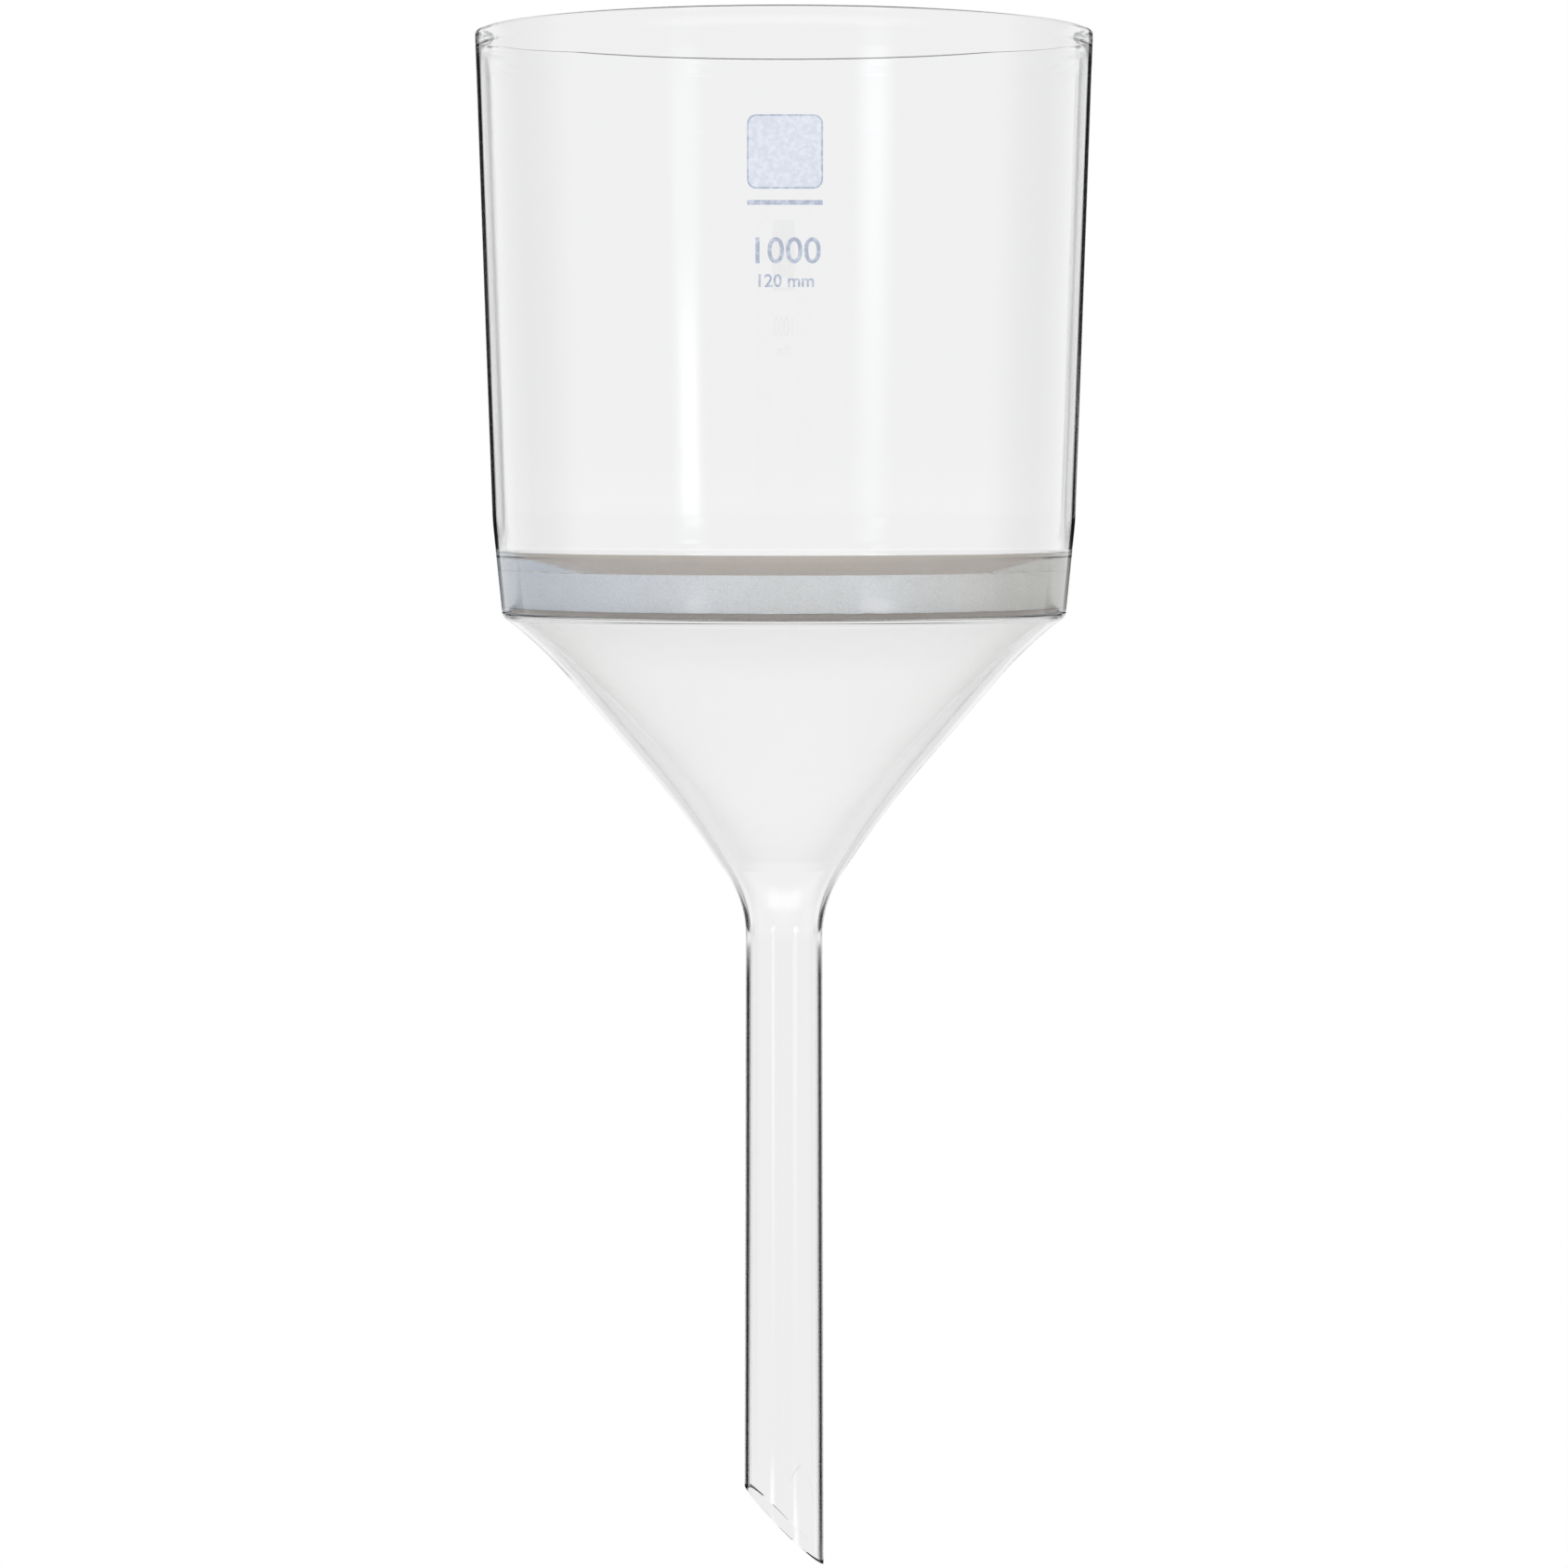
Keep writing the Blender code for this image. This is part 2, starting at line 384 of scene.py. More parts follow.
@dataclass
class Walk:
    """A path walked down the outer side of a turned wall, as (radius, height, lean) stops.

    The lean is the angle in degrees between the walk and straight down, positive towards the axis.
    """

    stops: list[Stop]

    def straight_down_to(self, height: float, steps: int = 1) -> None:
        """Walk on in the last stop's direction as far as a height.

        Args:
            height: Where to stop.
            steps: Number of stops to add.
        """
        radius, start, lean = self.stops[-1]
        slope = math.tan(math.radians(lean))
        for step in range(1, steps + 1):
            here = start + (height - start) * step / steps
            self.stops.append((radius - (start - here) * slope, here, lean))

    def straight(self, length: float, steps: int = 1) -> None:
        """Walk on by a length."""
        fall = length * math.cos(math.radians(self.stops[-1][2]))
        self.straight_down_to(self.stops[-1][1] - fall, steps)

    def bend(self, new_lean: float, bend_radius: float, steps: int) -> None:
        """Walk along an arc that ends with a new lean.

        Args:
            new_lean: Lean at the arc's end.
            bend_radius: The arc's radius.
            steps: Number of stops to add.
        """
        radius, height, lean = self.stops[-1]
        start = math.radians(lean)
        side = 1.0 if new_lean > lean else -1.0
        for step in range(1, steps + 1):
            here = lean + (new_lean - lean) * step / steps
            angle = math.radians(here)
            across = bend_radius * (math.cos(angle) - math.cos(start))
            down = bend_radius * (math.sin(angle) - math.sin(start))
            self.stops.append((radius + side * across, height - side * down, here))

    def outside(self) -> list[Point]:
        """Give the path as plain (radius, height) points."""
        return [(radius, height) for radius, height, _ in self.stops]

    def inside(self, top_wall: float, bottom_wall: float, clearance: float = 0.05 * MM) -> list[Point]:
        """Give the inner side of a wall, from bottom to top.

        Args:
            top_wall: Wall at the first stop, measured level.
            bottom_wall: Wall at the last stop, measured level.
            clearance: How far the other points stay under the first stop.

        Returns:
            Points whose wall changes evenly along the walk, with none above the top ring.
        """
        last = len(self.stops) - 1
        inner = []
        for index, (radius, height, lean) in enumerate(self.stops):
            wall = top_wall + (bottom_wall - top_wall) * index / last
            angle = math.radians(lean)
            raised = height + wall * math.sin(angle)
            if index in (0, last):
                inner.append((radius - wall / math.cos(angle), height))
            elif raised < self.stops[0][1] - clearance:
                inner.append((radius - wall * math.cos(angle), raised))
        inner.reverse()
        return inner


def arc(center: Point, radius: float, start: float, end: float, steps: int) -> list[Point]:
    """Give points on an arc.

    Args:
        center: The arc's centre as (radius, height).
        radius: The arc's own radius.
        start: First angle in degrees from straight outwards.
        end: Last angle.
        steps: Number of steps between them.

    Returns:
        The points, both ends included.
    """
    angles = [math.radians(start + (end - start) * step / steps) for step in range(steps + 1)]
    return [(center[0] + radius * math.cos(a), center[1] + radius * math.sin(a)) for a in angles]


def swell(low: Point, high: Point, steps: int) -> list[Point]:
    """Give an S-shaped stretch between two points.

    Args:
        low: First (radius, height).
        high: Last (radius, height).
        steps: Number of steps between them.

    Returns:
        The points, both ends included.
    """
    points = []
    for step in range(steps + 1):
        part = step / steps
        ease = part * part * (3.0 - 2.0 * part)
        points.append((low[0] + (high[0] - low[0]) * ease, low[1] + (high[1] - low[1]) * part))
    return points


# ---- Mesh helpers ----

def turned_mesh(name: str, profile: list[Point], segments: int, wobble: Wobble,
                closed: bool = True) -> bpy.types.Mesh:
    """Turn a profile about the axis.

    Args:
        name: The mesh's name.
        profile: (radius, height) points in order round the section.
        segments: Flats round the axis.
        wobble: Gives the radius change at an angle, a height and a radius.
        closed: Whether the profile is a ring; if not, it starts and ends on the axis.

    Returns:
        A closed mesh with smooth faces.
    """
    shape = bmesh.new()
    rings = []
    for radius, height in profile:
        if radius < ON_AXIS:
            rings.append([shape.verts.new((0.0, 0.0, height))])
            continue
        ring = []
        for index in range(segments):
            angle = math.tau * index / segments
            reach = radius + wobble(angle, height, radius)
            ring.append(shape.verts.new((reach * math.cos(angle), reach * math.sin(angle), height)))
        rings.append(ring)
    pairs = list(zip(rings, rings[1:]))
    if closed:
        pairs.append((rings[-1], rings[0]))
    for upper, lower in pairs:
        for index in range(segments):
            after = (index + 1) % segments
            if len(upper) == 1:
                shape.faces.new((upper[0], lower[index], lower[after]))
            elif len(lower) == 1:
                shape.faces.new((upper[after], upper[index], lower[0]))
            else:
                shape.faces.new((upper[after], upper[index], lower[index], lower[after]))
    bmesh.ops.recalc_face_normals(shape, faces=shape.faces)
    mesh = bpy.data.meshes.new(name)
    shape.to_mesh(mesh)
    shape.free()
    return mesh


def place_piece(mesh: bpy.types.Mesh, material: bpy.types.Material,
                sharp_above: float = 30.0) -> bpy.types.Object:
    """Put a mesh in the scene as a piece of the funnel.

    Args:
        mesh: The piece's mesh; the piece takes its name.
        material: Its finish.
        sharp_above: Edges that turn by more than this many degrees are shaded sharp.

    Returns:
        The piece, riding on the funnel's body.
    """
    mesh.materials.append(material)
    piece = bpy.data.objects.new(mesh.name, mesh)
    bpy.context.scene.collection.objects.link(piece)
    mesh.shade_smooth()
    mesh.set_sharp_from_angle(angle=math.radians(sharp_above))
    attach(piece, ROOT_BODY)
    LOG.info("piece %s: %d faces", piece.name, len(mesh.polygons))
    return piece


def even(angle: float, height: float, radius: float) -> float:
    """Give no change in radius, for a pressed piece that is truly round."""
    return 0.0


def drawn_waves(seed: float, depth: float, round_rate: float = 1.3, height_rate: float = 14.0,
                radius_rate: float = 60.0) -> Wobble:
    """Make the slow unevenness of a drawn wall.

    Args:
        seed: Offset that makes one piece differ from the next.
        depth: Largest change in radius, in metres.
        round_rate: How fast it changes round the axis.
        height_rate: How fast it changes with height, to the metre.
        radius_rate: How fast it changes with radius, to the metre.

    Returns:
        A function of angle, height and radius.
    """
    def wobble(angle: float, height: float, radius: float) -> float:
        """Give the change in radius at one point."""
        place = Vector((math.cos(angle) * round_rate, math.sin(angle) * round_rate,
                        height * height_rate + seed + radius * radius_rate))
        return depth * noise.noise(place)
    return wobble


# ---- The vessel and its disc ----

@dataclass
class Bowl:
    """Drawn cylinder with a fire-polished rim, thickened where the disc is sealed in.

    Tapers are in degrees between the wall and the axis.
    """

    rim_height: float = 198.8 * MM
    rim_radius: float = 67.7 * MM
    rim_wall: float = 1.6 * MM
    rim_rounding: float = 0.7 * MM
    rim_depth: float = 5.0 * MM
    taper: float = 1.84
    wall: float = 1.1 * MM
    seal_taper: float = 5.6
    seal_bend_height: float = 94.1 * MM
    seal_bend_radius: float = 60.0 * MM
    collar_top: float = 85.6 * MM
    collar_ease: float = 1.4           # 1 is a straight slope, more is a hollow one
    seat_radius: float = 61.0 * MM
    seat_top: float = 81.5 * MM
    foot_height: float = 72.2 * MM
    foot_rounding: float = 0.30 * MM
    wall_rings: int = 36
    bend_rings: int = 6
    seal_rings: int = 8
    collar_rings: int = 14
    bore_rings: int = 32
    rim_rings: int = 6
    segments: int = 360
    unevenness: float = 0.03 * MM

    def side(self) -> Walk:
        """Walk the outside from the rim's rounding to the seam under the disc.

        Returns:
            The walk.
        """
        walk = Walk([(self.rim_radius, self.rim_height - self.rim_rounding, self.taper)])
        walk.straight_down_to(self.seal_bend_height, self.wall_rings)
        walk.bend(self.seal_taper, self.seal_bend_radius, self.bend_rings)
        walk.straight_down_to(self.foot_height, self.seal_rings)
        return walk

    def foot(self) -> list[Point]:
        """Give the small rounding at the outer edge of the foot, where the cone is fused on.

        Returns:
            The rounding's points, from its top round to its bottom.
        """
        radius = self.side().stops[-1][0]
        center = (radius - self.foot_rounding, self.foot_height + self.foot_rounding)
        return arc(center, self.foot_rounding, 0.0, -90.0, EDGE_STEPS)

    def bore(self, height: float) -> float:
        """Give the inside radius of the plain wall at a height."""
        fall = (self.rim_height - height) * math.tan(math.radians(self.taper))
        return self.rim_radius - self.wall - fall

    def collar(self) -> list[Point]:
        """Give the inside of the thickened ring, from the disc's top face up to the plain wall.

        Returns:
            The points over the seat's own.
        """
        points = []
        for step in range(1, self.collar_rings + 1):
            height = self.seat_top + (self.collar_top - self.seat_top) * step / self.collar_rings
            left = (1.0 - step / self.collar_rings) ** self.collar_ease
            top = self.bore(self.seat_top)
            points.append((self.bore(height) + (self.seat_radius - top) * left, height))
        return points

    def profile(self) -> list[Point]:
        """Give the whole section of the wall, from the rim's inside round to the inside again.

        Returns:
            The section as a ring of points.
        """
        base = self.rim_height - self.rim_rounding
        inner = (self.rim_radius - self.rim_wall + self.rim_rounding, base)
        outer = (self.rim_radius - self.rim_rounding, base)
        rim = (arc(inner, self.rim_rounding, 180.0, 90.0, self.rim_rings)
               + arc(outer, self.rim_rounding, 90.0, 0.0, self.rim_rings))
        outside = self.side().outside()[:-1] + self.foot()
        seat = [(self.seat_radius, self.foot_height), (self.seat_radius, self.seat_top)]
        rim_foot = self.rim_height - self.rim_depth
        heights = [self.collar_top + (rim_foot - self.collar_top) * step / self.bore_rings
                   for step in range(1, self.bore_rings + 1)]
        plain = [(self.bore(height), height) for height in heights]
        bead = swell(plain[-1], (self.rim_radius - self.rim_wall, base), self.rim_rings)[1:-1]
        return rim + outside[1:] + seat + self.collar() + plain + bead

    def build(self, glass: bpy.types.Material) -> bpy.types.Object:
        """Make the bowl.

        Args:
            glass: Its finish.

        Returns:
            The piece, which stands for the node bowl.
        """
        mesh = turned_mesh("clear_bowl", self.profile(), self.segments,
                           drawn_waves(0.0, self.unevenness))
        bowl = place_piece(mesh, glass)
        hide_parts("bowl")
        return bowl

    def surface_radius(self, height: float) -> float:
        """Give the outside radius of the tapered wall at a height."""
        base = self.rim_height - self.rim_rounding
        return self.rim_radius - (base - height) * math.tan(math.radians(self.taper))


@dataclass
class Cone:
    """Blown cone between the bowl's foot and the stem, with a rounded shoulder and a flared neck.

    Leans are in degrees between the side and the axis.
    """

    top_height: float = 72.2 * MM
    shoulder_radius: float = 2.48 * MM
    shoulder_straight: float = 0.70 * MM
    top_lean: float = 52.5
    upper_bend: float = 84.0 * MM
    middle_lean: float = 40.9
    straight: float = 25.9 * MM
    lower_bend: float = 215.0 * MM
    lower_lean: float = 33.2
    top_wall: float = 1.5 * MM
    top_rounding: float = 0.30 * MM
    neck_radius: float = 8.55 * MM
    neck_wall: float = 0.85 * MM
    shoulder_rings: int = 14
    upper_rings: int = 10
    straight_rings: int = 6
    lower_rings: int = 8
    neck_rings: int = 20
    segments: int = 360
    unevenness: float = 0.03 * MM

    def walk(self, bowl: Bowl) -> Walk:
        """Walk the outside from the seam under the disc to the neck.

        Args:
            bowl: The bowl over the cone.

        Returns:
            The walk.
        """
        foot = bowl.side().stops[-1]
        walk = Walk([(foot[0], self.top_height, bowl.seal_taper)])
        walk.bend(self.top_lean, self.shoulder_radius, self.shoulder_rings)
        walk.straight(self.shoulder_straight)
        walk.bend(self.middle_lean, self.upper_bend, self.upper_rings)
        walk.straight(self.straight, self.straight_rings)
        walk.bend(self.lower_lean, self.lower_bend, self.lower_rings)
        self.neck(walk)
        return walk

    def neck(self, walk: Walk) -> None:
        """Bring the side upright at the stem's radius, exactly at the height where the stem starts.

        Args:
            walk: The walk so far, which is carried on.
        """
        radius, height, lean = walk.stops[-1]
        arc_radius = (radius - self.neck_radius) / (1.0 - math.cos(math.radians(lean)))
        curve = Walk([walk.stops[-1]])
        curve.bend(0.0, arc_radius, self.neck_rings)
        stretch = height / (height - curve.stops[-1][1])
        walk.stops += [(r, height - (height - z) * stretch, a) for r, z, a in curve.stops[1:]]

    def top_edge(self, walk: Walk) -> list[Point]:
        """Give the small rounding at the outer edge of the cone's top, beside the bowl's foot.

        Args:
            walk: The walk down the outside.

        Returns:
            The rounding's points, from its top round to its bottom.
        """
        radius = walk.stops[0][0]
        center = (radius - self.top_rounding, self.top_height - self.top_rounding)
        return arc(center, self.top_rounding, 90.0, 0.0, EDGE_STEPS)


@dataclass
class Stem:
    """Straight tube under the cone, drawn with it as one fused skin, and cut off at a slant."""

    top_radius: float = 8.55 * MM
    tip_radius: float = 8.95 * MM
    wall: float = 0.85 * MM
    bevel_height: float = -132.25 * MM
    bevel_angle: float = 45.0
    rings: int = 60

    def walk_on(self, walk: Walk) -> None:
        """Carry the cone's outside down the tube, well past the bevel.

        Args:
            walk: The walk so far, which is carried on.
        """
        end = self.bevel_height - 2.0 * self.tip_radius
        for step in range(1, self.rings + 1):
            part = step / self.rings
            radius = self.top_radius + (self.tip_radius - self.top_radius) * part
            walk.stops.append((radius, end * part, 0.0))

    def inside(self) -> list[Point]:
        """Give the bore from its lower end up to just under the neck.

        Returns:
            The bore's points.
        """
        walk = Walk([(self.top_radius, 0.0, 0.0)])
        self.walk_on(walk)
        return [(radius - self.wall, height) for radius, height, _ in reversed(walk.stops[1:])]

    def cut_tip(self, mesh: bpy.types.Mesh) -> None:
        """Cut the tube's lower end with one flat cut and close the ground face.

        Args:
            mesh: The skin to cut.
        """
        shape = bmesh.new()
        shape.from_mesh(mesh)
        angle = math.radians(self.bevel_angle)
        bmesh.ops.bisect_plane(
            shape, geom=shape.verts[:] + shape.edges[:] + shape.faces[:],
            plane_co=(0.0, 0.0, self.bevel_height),
            plane_no=(-math.sin(angle), 0.0, -math.cos(angle)), clear_outer=True)
        open_edges = [edge for edge in shape.edges if edge.is_boundary]
        bmesh.ops.bridge_loops(shape, edges=open_edges)
        bmesh.ops.recalc_face_normals(shape, faces=shape.faces)
        shape.to_mesh(mesh)
        shape.free()


def build_cone_and_stem(bowl: Bowl, cone: Cone, stem: Stem, glass: bpy.types.Material) -> bpy.types.Object:
    """Make the cone and the stem as one skin, because their seam is melted smooth.

    Args:
        bowl: The bowl over the cone.
        cone: The cone's sizes.
        stem: The stem's sizes.
        glass: The finish of both.

    Returns:
        The piece, which stands for both nodes.
    """
    walk = cone.walk(bowl)
    inside = walk.inside(cone.top_wall, cone.neck_wall)
    edge = cone.top_edge(walk)
    outside = edge + [point for point in walk.outside() if point[1] < edge[-1][1]]
    tube = Walk([walk.stops[-1]])
    stem.walk_on(tube)
    profile = outside + tube.outside()[1:] + stem.inside() + inside
    mesh = turned_mesh("clear_cone_and_stem", profile, cone.segments, drawn_waves(7.0, cone.unevenness))
    stem.cut_tip(mesh)
    piece = place_piece(mesh, glass)
    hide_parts("cone", "stem")
    return piece


@dataclass
class FilterDisc:
    """Round plate of sintered glass powder, fused into the foot of the bowl."""

    radius: float = 61.2 * MM
    top: float = 81.5 * MM
    thickness: float = 8.2 * MM
    edge: float = 0.3 * MM
    rings: int = 24
    segments: int = 240
    lump_height: float = 0.12 * MM
    lump_rate: float = 260.0           # to the metre

    def profile(self) -> list[Point]:
        """Give half of the plate's section, from the middle of the top to the middle of the bottom.

        Returns:
            The points.
        """
        flat = self.radius - self.edge
        top = [(flat * step / self.rings, self.top) for step in range(self.rings)]
        corner = arc((flat, self.top - self.edge), self.edge, 90.0, 0.0, EDGE_STEPS)
        low = arc((flat, self.top - self.thickness + self.edge), self.edge, 0.0, -90.0, EDGE_STEPS)
        bottom = [(radius, self.top - self.thickness) for radius, _ in reversed(top)]
        return top + corner + low + bottom

    def build(self, powder: bpy.types.Material) -> bpy.types.Object:
        """Make the plate with a slightly lumpy surface.

        Args:
            powder: Its finish.

        Returns:
            The piece, which stands for the node filter_disc.
        """
        mesh = turned_mesh("sintered_disc", self.profile(), self.segments, even, closed=False)
        for vertex in mesh.vertices:
            vertex.co.z += self.lump_height * noise.noise(Vector(vertex.co) * self.lump_rate)
        disc = place_piece(mesh, powder)
        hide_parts("filter_disc")
        return disc


# ---- The fired marks ----

@dataclass
class Marks:
    """Plain write-on panel with a bar and two lines of size figures, fired on the front of the bowl."""

    middle: float = 0.2 * MM
    panel_width: float = 15.7 * MM
    panel_low: float = 161.2 * MM
    panel_high: float = 176.4 * MM
    panel_round: float = 1.9 * MM
    border: float = 0.35 * MM
    bar_low: float = 157.9 * MM
    bar_high: float = 158.9 * MM
    bar_round: float = 0.3 * MM
    volume_text: str = "1000"
    volume_low: float = 146.0 * MM
    volume_height: float = 5.3 * MM
    width_text: str = "120 mm"
    width_low: float = 141.1 * MM
    width_height: float = 2.6 * MM
    stroke_gain: float = 0.06 * MM
    weld: float = 0.001 * MM
    figure_share: float = 0.70         # height of a figure as a share of the font's size
    sink: float = 0.010 * MM
    thickness: float = 0.045 * MM
    reach: float = 10.0 * MM           # no mark goes further sideways than this
    strip: float = 0.8 * MM            # the marks are cut into strips, so that they follow the round wall
    corner_steps: int = 6

    def wrap(self, shape: bmesh.types.BMesh, bowl: Bowl) -> None:
        """Lay a flat drawing on the bowl.

        Args:
            shape: Drawing with x across, y up and z from 0 at the glass to 1 at the enamel's face.
            bowl: The bowl that it lies on.
        """
        cuts = int(self.reach / self.strip) + 2
        for index in range(-cuts, cuts + 1):
            bmesh.ops.bisect_plane(shape, geom=shape.verts[:] + shape.edges[:] + shape.faces[:],
                                   plane_co=(self.middle + index * self.strip, 0.0, 0.0),
                                   plane_no=(1.0, 0.0, 0.0))
        for vertex in shape.verts:
            across, height, layer = vertex.co
            base = bowl.surface_radius(height)
            angle = across / base
            reach = base - self.sink + self.thickness * layer
            vertex.co = (reach * math.sin(angle), -reach * math.cos(angle), height)

    def slab(self, outline: list[list[Point]]) -> bmesh.types.BMesh:
        """Make a closed flat slab from outlines.

        Args:
            outline: Closed loops, the first round the outside and any other round a hole.

        Returns:
            The slab, one unit thick.
        """
        shape = bmesh.new()
        loops = []
        for points in outline:
            verts = [shape.verts.new((x, y, 0.0)) for x, y in points]
            loops += [shape.edges.new((a, b)) for a, b in zip(verts, verts[1:] + verts[:1])]
        bmesh.ops.triangle_fill(shape, use_beauty=True, edges=loops)
        grown = bmesh.ops.extrude_face_region(shape, geom=shape.faces[:])
        moved = [item for item in grown["geom"] if isinstance(item, bmesh.types.BMVert)]
        bmesh.ops.translate(shape, verts=moved, vec=(0.0, 0.0, 1.0))
        return shape

    def rounded_box(self, low: float, high: float, width: float, rounding: float) -> list[Point]:
        """Give the outline of a box with round corners, centred on the marks' middle.

        Args:
            low: Height of its lower side.
            high: Height of its upper side.
            width: Its width.
            rounding: Radius of its corners.

        Returns:
            The outline as a closed loop.
        """
        half = width / 2
        points = []
        corners = ((half - rounding, low + rounding, -90.0), (half - rounding, high - rounding, 0.0),
                   (rounding - half, high - rounding, 90.0), (rounding - half, low + rounding, 180.0))
        for x, y, start in corners:
            points += arc((self.middle + x, y), rounding, start, start + 90.0, self.corner_steps)
        return points

    def lettering(self, words: str, low: float, height: float) -> bmesh.types.BMesh:
        """Make one line of figures in the built-in font.

        Args:
            words: The text.
            low: Height of its foot.
            height: Height of a figure.

        Returns:
            The text as closed slabs one unit thick.
        """
        curve = bpy.data.curves.new(words, "FONT")
        curve.body = words
        curve.align_x = "CENTER"
        curve.size = height / self.figure_share
        curve.extrude = 0.5
        curve.offset = self.stroke_gain
        curve.resolution_u = 4
        writer = bpy.data.objects.new(words, curve)
        bpy.context.scene.collection.objects.link(writer)
        bpy.context.view_layer.update()
        flat = bpy.data.meshes.new_from_object(writer)
        shape = bmesh.new()
        shape.from_mesh(flat)
        bpy.data.objects.remove(writer)
        bpy.data.curves.remove(curve)
        bpy.data.meshes.remove(flat)
        bmesh.ops.remove_doubles(shape, verts=shape.verts, dist=self.weld)
        bmesh.ops.translate(shape, verts=shape.verts, vec=(self.middle, low, 0.5))
        return shape

    def finish(self, name: str, shape: bmesh.types.BMesh, bowl: Bowl,
               enamel: bpy.types.Material) -> bpy.types.Object:
        """Wrap a drawing on the bowl and place it as a piece.

        Args:
            name: The piece's name.
            shape: The flat drawing.
            bowl: The bowl that it lies on.
            enamel: Its finish.

        Returns:
            The piece.
        """
        self.wrap(shape, bowl)
        bmesh.ops.recalc_face_normals(shape, faces=shape.faces)
        mesh = bpy.data.meshes.new(name)
        shape.to_mesh(mesh)
        shape.free()
        return place_piece(mesh, enamel)

    def build(self, bowl: Bowl, tint: bpy.types.Material, ink: bpy.types.Material) -> None:
        """Make the panel, its border, the bar and the two lines of figures.

        Args:
            bowl: The bowl that they lie on.
            tint: Finish of the panel.
            ink: Finish of the lines and figures.
        """
        inset = self.border
        outer = self.rounded_box(self.panel_low, self.panel_high, self.panel_width, self.panel_round)
        inner = self.rounded_box(self.panel_low + inset, self.panel_high - inset,
                                 self.panel_width - 2.0 * inset, self.panel_round - inset)
        bar = self.rounded_box(self.bar_low, self.bar_high, self.panel_width, self.bar_round)
        self.finish("panel_border", self.slab([outer, inner]), bowl, ink)
        self.finish("panel_field", self.slab([inner]), bowl, tint)
        self.finish("panel_bar", self.slab([bar]), bowl, ink)
        volume = self.lettering(self.volume_text, self.volume_low, self.volume_height)
        self.finish("volume_figures", volume, bowl, ink)
        width = self.lettering(self.width_text, self.width_low, self.width_height)
        self.finish("width_figures", width, bowl, ink)


# ---- Studio ----

@dataclass(frozen=True)
class Panel:
    """One panel of the studio's surroundings, bright or dark.

    Angles are in degrees. The bearing is measured from +Y towards +X, the heights from the horizon.
    A side fades from one edge width inside its place to one outside.
    """

    bearing: float
    half_width: float
    low: float
    high: float
    level: float
    tint: Colour = WHITE
    side_edge: float = 2.0
    low_edge: float = 2.0
    high_edge: float = 2.0


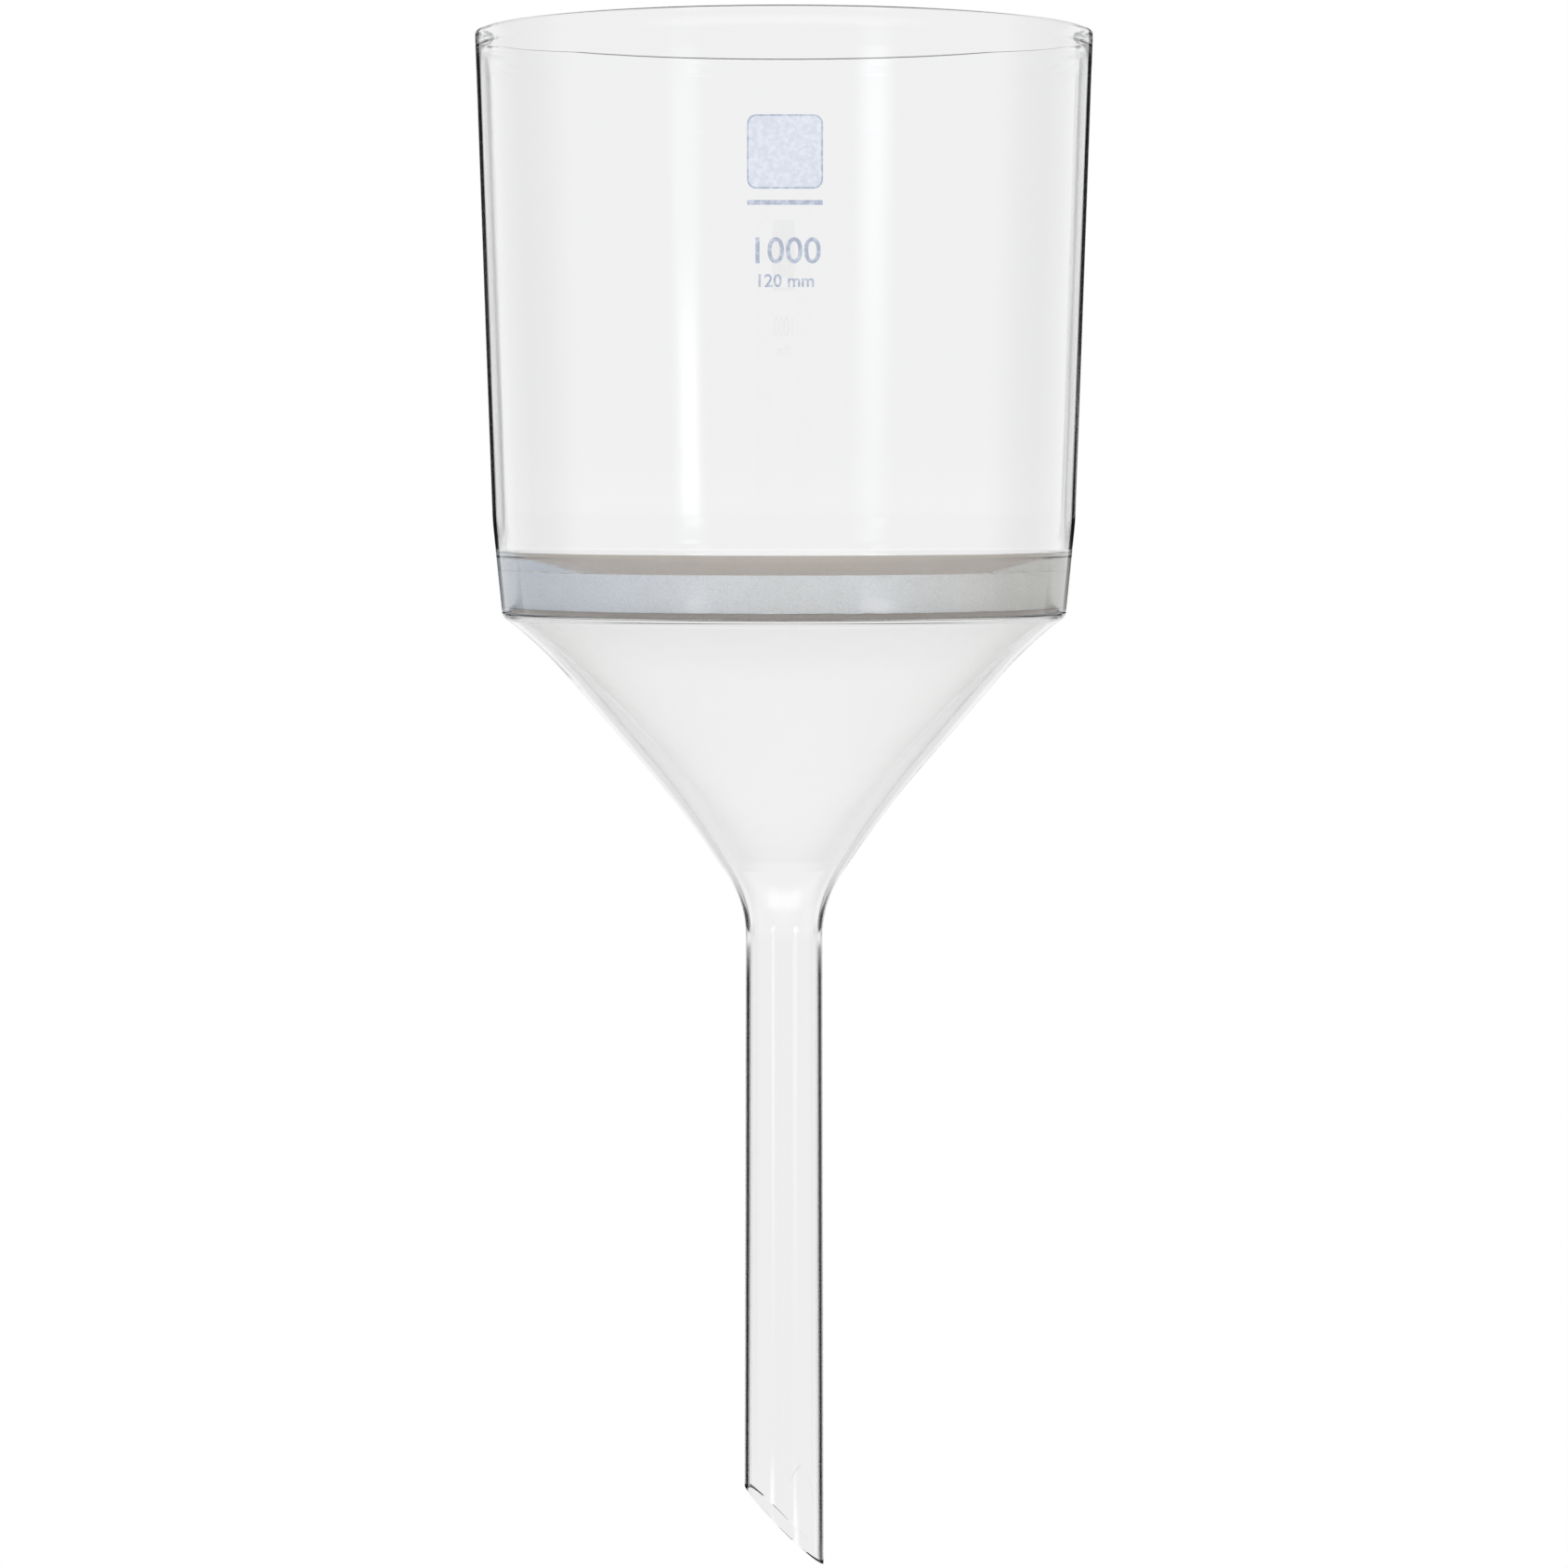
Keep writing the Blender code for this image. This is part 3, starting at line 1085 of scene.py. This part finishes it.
@dataclass
class Studio:
    """White studio: camera, pale floor, backdrop and the light that surrounds the funnel.

    Heights in pairs are degrees from the horizon between which one zone of the room fades into the next.
    """

    camera_place: Triple = (0.0, -1.0657, 0.10504)
    camera_pitch: float = -3.827       # degrees, down
    lens: float = 110.62               # millimetres, on the sensor below
    sensor: float = 36.0
    nearest: float = 0.01
    furthest: float = 500.0
    floor_height: float = -143.5 * MM
    floor_reach: float = 60.0
    wall_level: float = 0.93
    ceiling_level: float = 0.95
    wall_to_ceiling: Span = (20.0, 50.0)
    screen_to_wall: Span = (-15.5, -12.5)
    floor_to_screen: Span = (-38.0, -28.0)
    floor_level: float = 0.75
    screen_middle: float = 0.75        # low screens round the floor, paler and darker by turns
    screen_swing: float = 0.12
    screens: int = 4
    glass_bounces: int = 24
    gloss_bounces: int = 16
    matt_bounces: int = 8
    panels: list[Panel] = field(default_factory=lambda: [
        # the large softbox over and behind the camera
        Panel(180.0, 50.0, 22.0, 70.0, 2.4, side_edge=15.0, low_edge=6.0, high_edge=10.0),
        # grey flags to the sides, which shade the bowl's flanks
        Panel(-66.0, 17.0, -12.0, 35.0, 0.62, side_edge=8.0),
        Panel(66.0, 17.0, -12.0, 35.0, 0.62, side_edge=8.0),
        # narrow dark flags beside the backdrop for the bowl's edges, wider and lower ones for the stem's
        Panel(-15.5, 6.5, -4.0, 12.0, 0.010, side_edge=0.8),
        Panel(15.5, 6.5, -4.0, 12.0, 0.010, side_edge=0.8),
        Panel(-33.0, 15.0, -14.0, -5.6, 0.010, side_edge=1.5, high_edge=0.5),
        Panel(33.0, 15.0, -14.0, -5.6, 0.010, side_edge=1.5, high_edge=0.5),
        # a dark strip on the floor before the backdrop, for the line along the rim
        Panel(0.0, 11.0, -62.0, -19.6, 0.08, side_edge=2.0, low_edge=3.0, high_edge=0.5),
        # the backdrop in three heights: behind the stem, the cone and the bowl
        Panel(0.0, 8.5, -19.0, 12.0, 0.85, side_edge=0.8),
        Panel(0.0, 8.5, -4.6, 12.0, 0.94, side_edge=0.8, low_edge=1.0),
        Panel(0.0, 8.5, -1.0, 12.0, 0.87, side_edge=0.8, low_edge=1.5),
        # softboxes behind the camera for the bowl: the left one with its brighter lower half, the right one
        Panel(-143.0, 5.0, -4.6, 1.5, 1.7, SOFTBOX_TINT, side_edge=3.0, low_edge=0.8, high_edge=1.0),
        Panel(-143.5, 3.2, -4.4, -1.6, 3.0, SOFTBOX_TINT, side_edge=2.0, low_edge=0.7, high_edge=1.0),
        Panel(146.0, 5.0, -2.0, 1.5, 2.9, SOFTBOX_TINT, side_edge=4.5, low_edge=6.0, high_edge=1.0),
        # lower ones for the stem
        Panel(-147.0, 3.0, -9.0, -5.4, 1.8, SOFTBOX_TINT, side_edge=2.5, low_edge=2.5, high_edge=0.4),
        Panel(143.0, 3.0, -9.0, -5.4, 2.0, SOFTBOX_TINT, side_edge=2.5, low_edge=2.5, high_edge=0.4),
        # the lowest for the glass round the disc
        Panel(-144.3, 4.0, -15.0, -12.3, 3.0, SOFTBOX_TINT, side_edge=3.5, high_edge=0.4),
        Panel(142.0, 6.0, -15.0, -12.3, 4.0, SOFTBOX_TINT, side_edge=4.5, high_edge=0.4),
    ])

    def camera(self) -> None:
        """Add the camera."""
        data = bpy.data.cameras.new("camera")
        data.sensor_width = self.sensor
        data.lens = self.lens
        data.clip_start = self.nearest
        data.clip_end = self.furthest
        camera = bpy.data.objects.new("camera", data)
        camera.location = self.camera_place
        camera.rotation_euler = (math.radians(90.0 + self.camera_pitch), 0.0, 0.0)
        bpy.context.scene.collection.objects.link(camera)
        bpy.context.scene.camera = camera

    def floor(self) -> None:
        """Add the pale floor, which only the camera sees; the surroundings light the glass."""
        material = bpy.data.materials.new("pale_floor")
        material.use_nodes = True
        bench = NodeBench(material.node_tree)
        material.node_tree.nodes.clear()
        glow = bench.add("ShaderNodeEmission")
        glow.inputs["Color"].default_value = (*WHITE, 1.0)
        output = bench.add("ShaderNodeOutputMaterial")
        bench.link(glow.outputs[0], output.inputs["Surface"])
        shape = bmesh.new()
        bmesh.ops.create_circle(shape, cap_ends=True, segments=64, radius=self.floor_reach)
        mesh = bpy.data.meshes.new("floor")
        shape.to_mesh(mesh)
        shape.free()
        mesh.materials.append(material)
        floor = bpy.data.objects.new("floor", mesh)
        floor.location.z = self.floor_height
        bpy.context.scene.collection.objects.link(floor)
        for way in ("diffuse", "glossy", "transmission", "volume_scatter", "shadow"):
            setattr(floor, "visible_" + way, False)

    def surroundings(self) -> None:
        """Build the white backdrop that the camera sees and the panelled room that lights the glass."""
        world = bpy.data.worlds.new("studio")
        bpy.context.scene.world = world
        world.use_nodes = True
        tree = world.node_tree
        tree.nodes.clear()
        bench = NodeBench(tree)
        split = bench.add("ShaderNodeSeparateXYZ")
        bench.link(bench.add("ShaderNodeTexCoord").outputs["Generated"], split.inputs[0])
        east, north, up = split.outputs
        bearing = bench.maths("DEGREES", bench.maths("ARCTAN2", east, north))
        height = bench.maths("DEGREES", bench.maths("ARCSINE", up))

        wall = bench.ramp(height, *self.wall_to_ceiling, self.wall_level, self.ceiling_level)
        turns = bench.maths("MULTIPLY", bench.maths("RADIANS", bearing), float(self.screens))
        screen = bench.maths("MULTIPLY_ADD", bench.maths("COSINE", turns), self.screen_swing,
                             self.screen_middle)
        low = bench.mix_values(bench.ramp(height, *self.floor_to_screen), self.floor_level, screen)
        level = bench.mix_values(bench.ramp(height, *self.screen_to_wall), low, wall)
        grey = bench.add("ShaderNodeCombineColor")
        for channel in grey.inputs:
            bench.link(level, channel)
        colour = grey.outputs[0]
        for panel in self.panels:
            colour = self.add_panel(bench, bearing, height, colour, panel)

        room = bench.add("ShaderNodeBackground")
        bench.link(colour, room.inputs["Color"])
        backdrop = bench.add("ShaderNodeBackground")
        backdrop.inputs["Color"].default_value = (*WHITE, 1.0)
        chosen = bench.add("ShaderNodeMixShader")
        bench.link(bench.add("ShaderNodeLightPath").outputs["Is Camera Ray"], chosen.inputs[0])
        bench.link(room.outputs[0], chosen.inputs[1])
        bench.link(backdrop.outputs[0], chosen.inputs[2])
        output = bench.add("ShaderNodeOutputWorld")
        bench.link(chosen.outputs[0], output.inputs["Surface"])

    def add_panel(self, bench: NodeBench, bearing: bpy.types.NodeSocket, height: bpy.types.NodeSocket,
                  under: bpy.types.NodeSocket, panel: Panel) -> bpy.types.NodeSocket:
        """Lay one panel over the surroundings.

        Args:
            bench: Where the nodes go.
            bearing: Bearing of the direction, in degrees.
            height: Its height over the horizon, in degrees.
            under: Colour of what is behind the panel.
            panel: The panel.

        Returns:
            The colour with the panel laid over it.
        """
        away = bench.maths("ABSOLUTE", bench.maths(
            "WRAP", bench.maths("SUBTRACT", bearing, panel.bearing), 180.0, -180.0))
        across = bench.ramp(away, panel.half_width - panel.side_edge, panel.half_width + panel.side_edge,
                            1.0, 0.0)
        bottom = bench.ramp(height, panel.low - panel.low_edge, panel.low + panel.low_edge)
        top = bench.ramp(height, panel.high - panel.high_edge, panel.high + panel.high_edge, 1.0, 0.0)
        mask = bench.maths("MULTIPLY", across, bench.maths("MULTIPLY", bottom, top))
        return bench.blend(mask, under, tuple(panel.level * part for part in panel.tint))

    def light_paths(self) -> None:
        """Give the light enough bounces to cross four walls of glass, and show colours plainly."""
        scene = bpy.context.scene
        scene.view_settings.view_transform = "Standard"
        scene.view_settings.look = "None"
        scene.cycles.max_bounces = self.glass_bounces
        scene.cycles.transmission_bounces = self.glass_bounces
        scene.cycles.glossy_bounces = self.gloss_bounces
        scene.cycles.diffuse_bounces = self.matt_bounces
        scene.cycles.transparent_max_bounces = self.gloss_bounces

    def build(self) -> None:
        """Set up the whole studio."""
        self.camera()
        self.floor()
        self.surroundings()
        self.light_paths()


def main() -> None:
    """Build the studio and dress the funnel."""
    logging.basicConfig(level=logging.INFO, format="%(name)s: %(message)s")
    Studio().build()
    bowl = Bowl()
    bowl.build(ClearGlass("bowl_glass").make())
    FilterDisc().build(SinteredGlass().make())
    build_cone_and_stem(bowl, Cone(), Stem(), ClearGlass("cone_glass").make())
    Marks().build(bowl, PANEL_ENAMEL.make(), LINE_ENAMEL.make())


if __name__ == "__main__":
    main()
